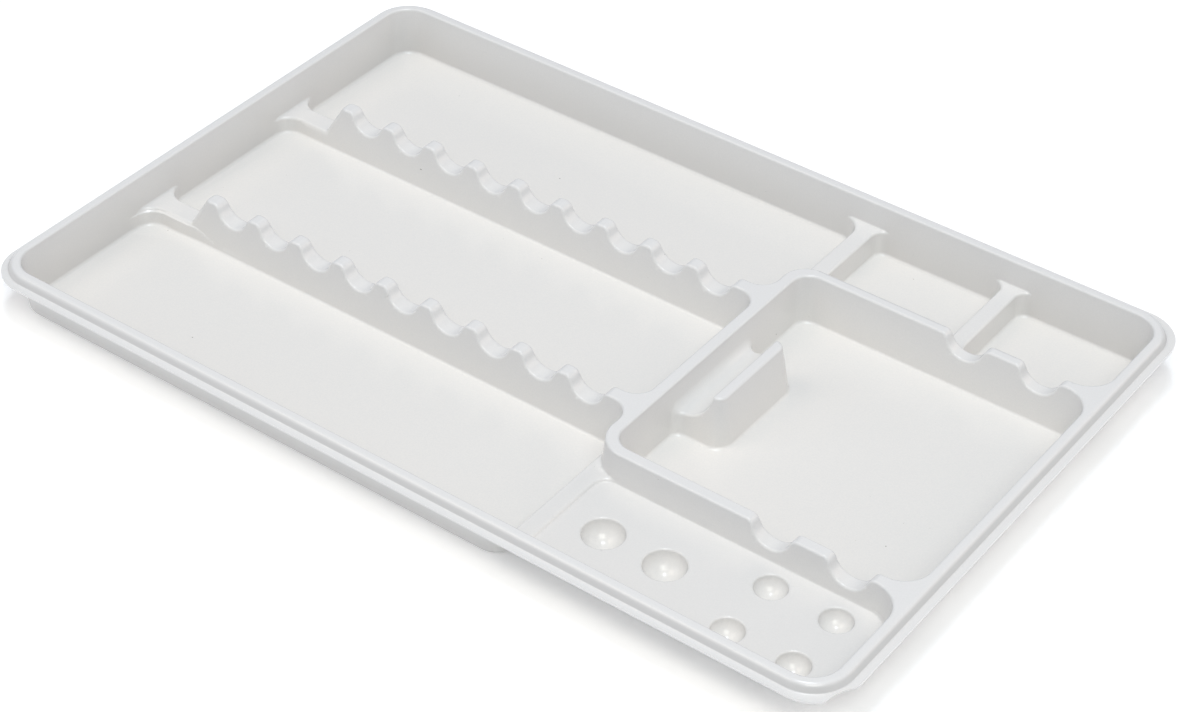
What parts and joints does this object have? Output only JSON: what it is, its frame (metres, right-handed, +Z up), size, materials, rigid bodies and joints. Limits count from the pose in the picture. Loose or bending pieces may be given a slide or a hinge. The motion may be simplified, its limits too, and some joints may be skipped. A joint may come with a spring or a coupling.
{
  "type": "mixing palette",
  "caption": "Shallow rectangular moulded plastic tray palette with long lanes, half-round brush rests, a square compartment with a cradle, small compartments and round mixing wells.",
  "frame": {"origin": "centre of the bounding box at the underside of the floors, where the tray stands", "axes": "+X along the lanes towards the mixing wells, +Y from the front edge to the back edge, +Z up"},
  "size_m": [0.284, 0.187, 0.016],
  "materials": {
    "sheet": "satin white thermoformed polystyrene sheet with a very fine grain"
  },
  "bodies": {
    "root": {"rim_front": "sheet", "rim_back": "sheet", "rim_left": "sheet", "rim_right": "sheet", "front_lane_floor": "sheet", "middle_lane_floor": "sheet", "rear_lane_floor": "sheet", "front_ridge_step": "sheet", "rear_ridge_step": "sheet", "front_rest_1": "sheet", "front_rest_2": "sheet", "front_rest_3": "sheet", "front_rest_4": "sheet", "front_rest_5": "sheet", "front_rest_6": "sheet", "front_rest_7": "sheet", "front_rest_8": "sheet", "front_rest_9": "sheet", "rear_rest_1": "sheet", "rear_rest_2": "sheet", "rear_rest_3": "sheet", "rear_rest_4": "sheet", "rear_rest_5": "sheet", "rear_rest_6": "sheet", "rear_rest_7": "sheet", "rear_rest_8": "sheet", "rear_rest_9": "sheet", "frame_left": "sheet", "frame_front": "sheet", "frame_back": "sheet", "frame_front_rest_1": "sheet", "frame_front_rest_2": "sheet", "frame_back_rest_1": "sheet", "frame_back_rest_2": "sheet", "cradle": "sheet", "square_floor": "sheet", "left_divider": "sheet", "left_small_floor": "sheet", "right_divider": "sheet", "right_small_floor": "sheet", "plate_edge": "sheet", "large_well_1": "sheet", "large_well_2": "sheet", "small_well_1": "sheet", "small_well_2": "sheet", "small_well_3": "sheet", "small_well_4": "sheet"}
  },
  "joints": []
}
